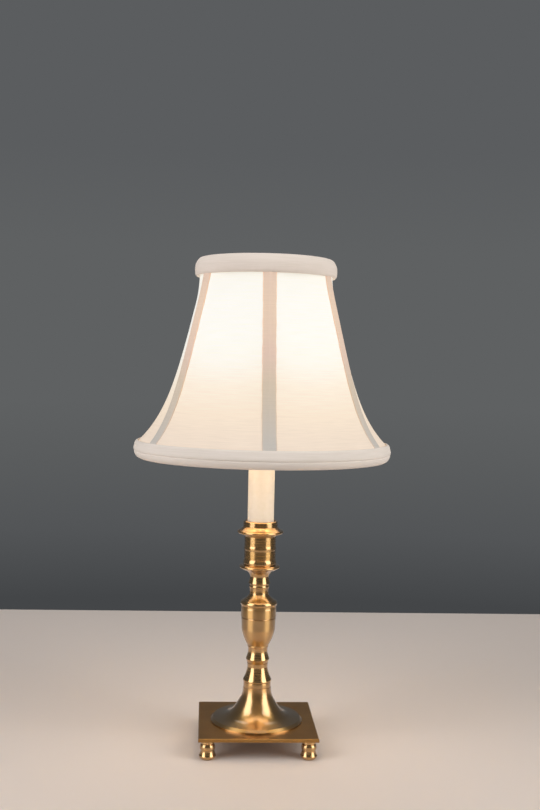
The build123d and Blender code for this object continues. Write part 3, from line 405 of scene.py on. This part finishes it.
def fabric_panel(number, material):
    """Stretched silk panel: arcs across, the bell's side down, with a slight draw at the seams.

    Down is t from ring to ring, across is s from -1 to 1. The draw is a cosine ripple that dies
    away from the seams, and the hollow is half a sine down and a parabola across. The silk was
    cut 3% longer than the straight slant from ring to ring, for its curve and its hems.
    """
    rows, columns = 90, 61
    down = np.linspace(0, 1, rows)[:, None]
    across = np.linspace(-1, 1, columns)[None, :]
    centre, radius, half = panel_arc(down)
    angle = across * (half - SEAM / radius)
    seam = np.abs(across) ** 10
    wave = np.cos(down * RING_TO_RING / PUCKER_SPACING * 2 * np.pi + number * 1.7)
    hollow = HOLLOW * np.sin(np.pi * down) * (1 - across ** 2)
    out = radius - hollow + PUCKER * wave * seam * np.sin(np.pi * down)
    z = TOP_LEVEL - RING_TO_RING * down + 0 * across
    flat = np.stack([centre + out * np.cos(angle), out * np.sin(angle), z], -1)
    points = turned(flat, FRONT + BETWEEN_RIBS * (number - 0.5))
    piece = grid_mesh(f"silk_panel_{number}", points, np.stack([angle * radius, z], -1))
    thicken(piece, FABRIC)
    dress(piece, material, f"shade_panel_{number}")


def seam_tape(number, material):
    """Folded seam tape over a rib: a shallow ridge whose two edges lie down on the panels.

    Across is s from -1 to 1. The height over the panels is a fold of even thickness that rounds
    down at both edges, raised by a soft ridge over the rib's wire; both edges waver slightly.
    """
    rows, columns = 110, 25
    down = np.linspace(0, 1, rows)[:, None]
    across = np.linspace(-1, 1, columns)[None, :]
    centre, radius, half = panel_arc(down)
    waver = 0.00012 * np.sin(down * 41 + number) + 0.00008 * np.sin(down * 97 + 2 * number)
    reach = (TAPE_HALF_WIDTH + waver) * across
    angle = half - np.abs(reach) / radius
    fold = 0.00065 * np.sqrt(np.clip(1 - across ** 6, 0, 1))
    ridge = 0.0003 * np.exp(-(across / 0.22) ** 2)
    out = radius + (COVER + fold + ridge)
    x = centre + out * np.cos(angle)
    y = out * np.sin(angle)
    along = x * np.cos(HALF_PANEL) + y * np.sin(HALF_PANEL)
    aside = np.sign(across) * (x * np.sin(HALF_PANEL) - y * np.cos(HALF_PANEL))
    z = TOP_LEVEL - RING_TO_RING * down + 0 * across
    points = turned(np.stack([along, aside, z], -1), FRONT + BETWEEN_RIBS * (number - 1))
    piece = grid_mesh(f"seam_tape_{number}", points, np.stack([reach + 0 * z, z], -1))
    thicken(piece, TAPE)
    dress(piece, material, f"shade_tape_{number}")


def trim_ring(name, outline, material, node, gathers):
    """Padded binding: a closed outline carried round the ring, with fine gathers at its seams.

    The outline is (radius, height, drawn) columns; round the ring the cloth is drawn in by a sum
    of three sines of unlike counts, by up to 0.4 mm where the outline's drawn value is 1.
    """
    radius, height, drawn = outline
    turn = np.linspace(0, 2 * np.pi, 360, endpoint=False)[None, :]
    wave = 0.5 + 0.2 * sum(size * np.sin(count * turn + count)
                           for count, size in zip(gathers, (1.0, 0.6, 0.8)))
    r = radius[:, None] - GATHER * drawn[:, None] * wave
    z = height[:, None] + 0 * turn
    points = np.stack([r * np.cos(turn), r * np.sin(turn), z], -1)
    girth = np.concatenate([[0], np.cumsum(np.hypot(np.diff(radius), np.diff(height)))])
    uv = np.stack([turn * radius.mean() + 0 * z, girth[:, None] + 0 * turn], -1)
    piece = grid_mesh(name, points, uv, closed_across=True, closed_down=True)
    dress(piece, material, node)


def smooth_outline(corners, count=96):
    """Closed outline through (radius, height, drawn) corners: a periodic cubic in even steps."""
    table = np.array(corners, float)
    steps = np.linspace(0, len(table), count, endpoint=False)
    corner = steps.astype(int)
    f = (steps - corner)[:, None]
    a, b, c, d = (table[(corner + ahead) % len(table)] for ahead in (-1, 0, 1, 2))
    value = 0.5 * (2 * b + (c - a) * f + (2 * a - 5 * b + 4 * c - d) * f ** 2
                   + (3 * b - a - 3 * c + d) * f ** 3)
    return value.T


def top_binding(material):
    """Soft roll round the top ring: down outside the panels, over the wire and in behind it."""
    ring = TOP_LEVEL
    wire = TOP_RIM - FABRIC - 0.00175
    foot = float(rim(np.array(0.0103 / RING_TO_RING))) + COVER
    trim_ring("top_binding", smooth_outline([
        (TOP_RIM + COVER, ring, 0), (foot, ring - 0.0101, 0), (foot + 0.0012, ring - 0.0107, 1.0),
        (foot + 0.0021, ring - 0.0088, 0.8), (foot + 0.0023, ring - 0.0050, 0.3),
        (foot + 0.0019, ring - 0.0008, 0.2), (wire + 0.0052, ring + 0.0030, 0.2),
        (wire + 0.0030, ring + 0.0054, 0.2), (wire + 0.0002, ring + 0.0058, 0.2),
        (wire - 0.0016, ring + 0.0040, 0.3), (wire - 0.0018, ring + 0.0018, 0.3),
        (wire, ring + 0.0014, 0)]), material, "shade_top_trim", (47, 79, 17))


def bottom_binding(material):
    """Fuller roll round the bottom ring, creased along its front where the binding was turned."""
    ring = TOP_LEVEL - RING_TO_RING
    wire = BOTTOM_RIM - FABRIC - 0.0017
    cover = BOTTOM_RIM + COVER
    trim_ring("bottom_binding", smooth_outline([
        (cover, ring, 0), (cover, ring + 0.0104, 0), (cover + 0.0011, ring + 0.0113, 1.0),
        (cover + 0.0026, ring + 0.0104, 0.8), (wire + 0.0056, ring + 0.0078, 0.3),
        (wire + 0.0063, ring + 0.0048, 0.1), (wire + 0.0061, ring + 0.0028, 0.1),
        (wire + 0.0055, ring + 0.0021, 0.6), (wire + 0.0058, ring + 0.0012, 0.2),
        (wire + 0.0050, ring - 0.0014, 0.1), (wire + 0.0031, ring - 0.0038, 0.1),
        (wire, ring - 0.0050, 0.1), (wire - 0.0028, ring - 0.0032, 0.2),
        (wire - 0.0037, ring + 0.0004, 0.2), (wire - 0.0034, ring + 0.0030, 0.2),
        (wire - 0.0027, ring + 0.0028, 0), (wire - 0.0020, ring - 0.0008, 0),
        (wire, ring - 0.0015, 0)]), material, "shade_bottom_trim", (61, 103, 23))


def lining_surface(material):
    """White lining inside the frame: a turned skin clear of the ribs and the panels.

    Its radius is 3.7 mm inside the bell over a rib, or 0.6 mm inside the panels' middles where
    that is less. Its weave is spread as on a cylinder of 90 mm radius.
    """
    down = np.linspace(0.01, 1.0, 70)[:, None]
    turn = np.linspace(0, 2 * np.pi, 180, endpoint=False)[None, :]
    radius = np.minimum(rim(down) - 0.0037, middle(down) - FABRIC - 0.0006)
    r = radius + 0 * turn
    z = TOP_LEVEL - RING_TO_RING * down + 0 * turn
    points = np.stack([r * np.cos(turn), r * np.sin(turn), z], -1)
    uv = np.stack([turn * 0.09 + 0 * z, z], -1)
    piece = grid_mesh("silk_lining", points, uv, closed_across=True)
    thicken(piece, LINING)
    dress(piece, material, "shade_lining")


# ---- studio --------------------------------------------------------------------------------
def surround():
    """Plain grey surround, a little darker below the horizon, by the height of the direction."""
    world = bpy.data.worlds.new("surround")
    world.use_nodes = True
    ray = add(world, "ShaderNodeTexCoord")
    up = add(world, "ShaderNodeSeparateXYZ", None, {0: ray.outputs["Generated"]})
    level = add(world, "ShaderNodeMapRange", None,
                {"Value": up.outputs["Z"], "From Min": -0.25, "From Max": 0.25})
    grey = add(world, "ShaderNodeValToRGB", None, {"Fac": level.outputs[0]},
               [(0.08, "#444648"), (0.20, "#535557"), (0.34, "#5B5D5E"), (0.43, "#5F6162"),
                (0.71, "#5F6162"), (0.88, "#5B5D5F")])
    background = world.node_tree.nodes["Background"]
    world.node_tree.links.new(grey.outputs[0], background.inputs["Color"])
    background.inputs["Strength"].default_value = 1.0
    bpy.context.scene.world = world


def table_top():
    """Plain pale table top that the lamp stands on."""
    bpy.ops.mesh.primitive_plane_add(size=1.09, location=(0, 0, 0))
    floor = bpy.context.object
    floor.name = "floor"
    material, output = new_material("pale_floor")
    shader = add(material, "ShaderNodeBsdfPrincipled", None,
                 {"Base Color": linear("#E2D6CE"), "Roughness": 0.55})
    floor.data.materials.append(finish_with(material, output, shader))


def soft_box(name, angle, away, height, size, power, colour):
    """Soft box at an angle in degrees from the lamp's front, its face towards the lamp."""
    data = bpy.data.lights.new(name, "AREA")
    data.shape = "RECTANGLE"
    data.size, data.size_y = size
    data.energy = power
    data.color = colour
    box = bpy.data.objects.new(name, data)
    bearing = np.radians(FRONT + angle)
    place = Vector((away * np.cos(bearing), away * np.sin(bearing), height))
    facing = (LAMP_MIDDLE - place).to_track_quat("-Z", "Y").to_matrix()
    box.matrix_world = Matrix.Translation(place) @ facing.to_4x4()
    box.visible_camera = False
    bpy.context.scene.collection.objects.link(box)


bpy.context.scene.view_settings.view_transform = "Standard"
surround()
table_top()
soft_box("soft_box_left", -60.0, 1.6, 0.85, (1.10, 2.0), 23.5, (1.0, 0.985, 0.975))
soft_box("soft_box_right", 60.0, 1.6, 0.85, (1.10, 2.0), 24.5, (1.0, 0.985, 0.955))
soft_box("soft_box_overhead", 0.0, 0.25, 1.5, (0.9, 0.9), 1.8, (1.0, 0.97, 0.94))
soft_box("fill_behind", 180.0, 1.2, 1.9, (1.2, 0.8), 4.5, (1.0, 0.985, 0.965))


# ---- finishes of the solids ------------------------------------------------------------------
give(spun_brass("antique_brass_lathe_satin", 0.26, 0.36), "flared_foot", "stem_urn")
give(spun_brass("antique_brass_lathe_bright", 0.20, 0.32), "stem_knop", "stem_shoulder",
     "stem_neck", "candle_cup", *(f"base_foot_{n}" for n in range(1, 5)))
give(sheet_brass(), "base_plate")
give(plain_metal("zinc_plated_steel", "#9C9A92", "#B9B8B2", 0.38, 300.0), "foot_studs",
     "threaded_pipe", "base_washer", "base_nut", "cup_nut", "socket_bracket")
give(plain_metal("stamped_shell_brass", "#C79C4E", "#DDB768", 0.30, 300.0), "socket_screw_shell",
     "socket_contact", "bulb_cap")
give(plain_metal("brass_plated_wire", "#B08A4C", "#C9A667", 0.34, 400.0), "clip_loop_1",
     "clip_loop_2", "clip_rivet", "shade_hub", "shade_top_ring", "shade_bottom_ring",
     *(f"shade_arm_{n}" for n in range(1, 4)), *(f"shade_rib_{n}" for n in range(1, PANELS + 1)))
give(plain_metal("solder_bead", "#9EA0A2", "#BEC0C2", 0.35, 300.0), "bulb_contact")
give(moulded("black_moulded_bushing", "#141414", "#1E1D1C", 0.45, 600.0), "cord_bushing")
give(moulded("brown_phenolic", "#2A1C14", "#38271C", 0.35, 500.0), "socket_body")
give(moulded("black_glass_seal", "#101114", "#1A1B20", 0.15, 500.0), "bulb_insulator")
give(moulded("lead_insulation", "#CFC4AE", "#DDD3BE", 0.5, 500.0), "socket_leads")
give(ivory_sleeve(), "candle_sleeve")
give(clear_bulb_glass(), "bulb_glass", "bulb_mount")
give(hot_filament(), "bulb_filament")


# ---- dressing of the shade ---------------------------------------------------------------------
silk = lit_cloth("ivory_silk_lit", ("#C2BEB9", "#C8C4BF"), [
    (0.04, "#BCBCB6"), (0.10, "#BCBCB5"), (0.15, "#BCBBB1"), (0.20, "#BCB9AE"), (0.38, "#B8A78E"),
    (0.60, "#B09776"), (0.80, "#A4896A"), (0.97, "#9B8063")])
tape = lit_cloth("ivory_tape_lit", ("#B1ACA6", "#B5B0AA"), [
    (0.0, "#B29068"), (0.22, "#9E765E"), (0.4, "#866E4B"), (0.9, "#5E5852")], "#6C3F00")
for number in range(1, PANELS + 1):
    fabric_panel(number, silk)
    seam_tape(number, tape)
binding = lit_cloth("ivory_binding", ("#E5DACF", "#ECE1D8"),
                    [(0.0, "#40240A"), (0.5, "#100804"), (1.0, "#000000")])
top_binding(binding)
bottom_binding(binding)
lining_surface(lit_cloth("white_lining_lit", ("#EFE8DC", "#F4EEE4"),
                         [(0.0, "#FFF6E6"), (0.5, "#F0DCC0"), (1.0, "#C8AA88")]))
